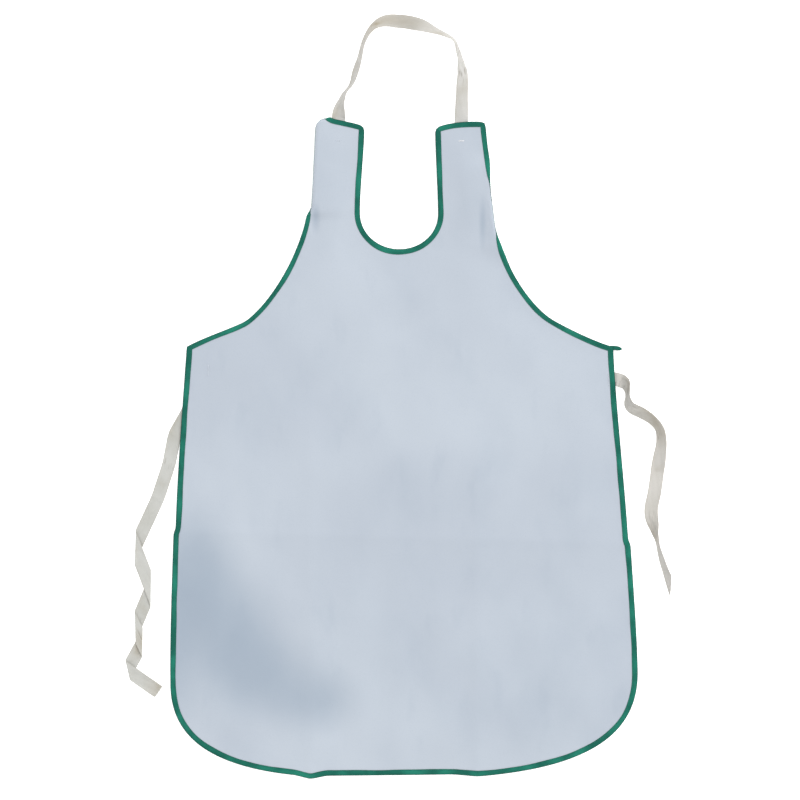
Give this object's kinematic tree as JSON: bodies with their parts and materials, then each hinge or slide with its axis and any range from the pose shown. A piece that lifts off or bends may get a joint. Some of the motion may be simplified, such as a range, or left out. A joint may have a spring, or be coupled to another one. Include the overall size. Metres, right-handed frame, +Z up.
{
  "type": "lead apron",
  "caption": "Bib-shaped X-ray apron laid flat, face up: lead rubber between cloth covers, edged with folded green tape, with a cotton neck strap and waist ties.",
  "frame": {"origin": "under the middle of the apron, on the surface that it lies on", "axes": "+Y from the hem to the neck, +Z up out of the front cover, +X to the right of someone who looks down at the front"},
  "size_m": [0.8342, 1.14, 0.0204],
  "materials": {
    "front_cloth": "coated pale blue-grey cloth, smooth, with a soft sheen and faint fold creases",
    "lining_cloth": "pale grey lining cloth, matt",
    "lead_rubber": "dark grey lead-loaded rubber, matt",
    "green_tape": "ribbed green bias tape",
    "green_thread": "green sewing thread",
    "white_thread": "white sewing thread",
    "cotton_webbing": "off-white cotton tape, herringbone weave, matt"
  },
  "bodies": {
    "apron": {"front_cover": "front_cloth", "front_lead_ply": "lead_rubber", "rear_lead_ply": "lead_rubber", "back_cover": "lining_cloth", "neckline_binding": "green_tape", "neckline_front_thread": "green_thread", "neckline_back_thread": "green_thread", "left_shoulder_binding": "green_tape", "left_shoulder_front_thread": "green_thread", "left_shoulder_back_thread": "green_thread", "left_armhole_binding": "green_tape", "left_armhole_front_thread": "green_thread", "left_armhole_back_thread": "green_thread", "hem_binding": "green_tape", "hem_front_thread": "green_thread", "hem_back_thread": "green_thread", "right_armhole_binding": "green_tape", "right_armhole_front_thread": "green_thread", "right_armhole_back_thread": "green_thread", "right_shoulder_binding": "green_tape", "right_shoulder_front_thread": "green_thread", "right_shoulder_back_thread": "green_thread", "left_neck_strap_end": "cotton_webbing", "left_neck_tack": "white_thread", "right_neck_strap_end": "cotton_webbing", "right_neck_tack": "white_thread", "left_tie_strap_end": "cotton_webbing", "left_tie_tack": "white_thread", "right_tie_strap_end": "cotton_webbing", "right_tie_tack": "white_thread"},
    "neck_strap": {"neck_strap": "cotton_webbing"},
    "left_waist_tie": {"left_waist_tie": "cotton_webbing"},
    "right_waist_tie": {"right_waist_tie": "cotton_webbing"}
  },
  "joints": [
    {"name": "neck_strap_fold", "type": "hinge", "parent": "apron", "child": "neck_strap", "pos_m": [0, 0.489, 0.0039], "axis": [1, 0, 0], "range_deg": [0, 145]},
    {"name": "left_waist_tie_fold", "type": "hinge", "parent": "apron", "child": "left_waist_tie", "pos_m": [-0.3322, 0.021, 0.0039], "axis": [0.0837, 0.9965, 0], "range_deg": [0, 160]},
    {"name": "right_waist_tie_fold", "type": "hinge", "parent": "apron", "child": "right_waist_tie", "pos_m": [0.3272, 0.101, 0.0039], "axis": [0.0698, -0.9976, 0], "range_deg": [0, 120]}
  ]
}
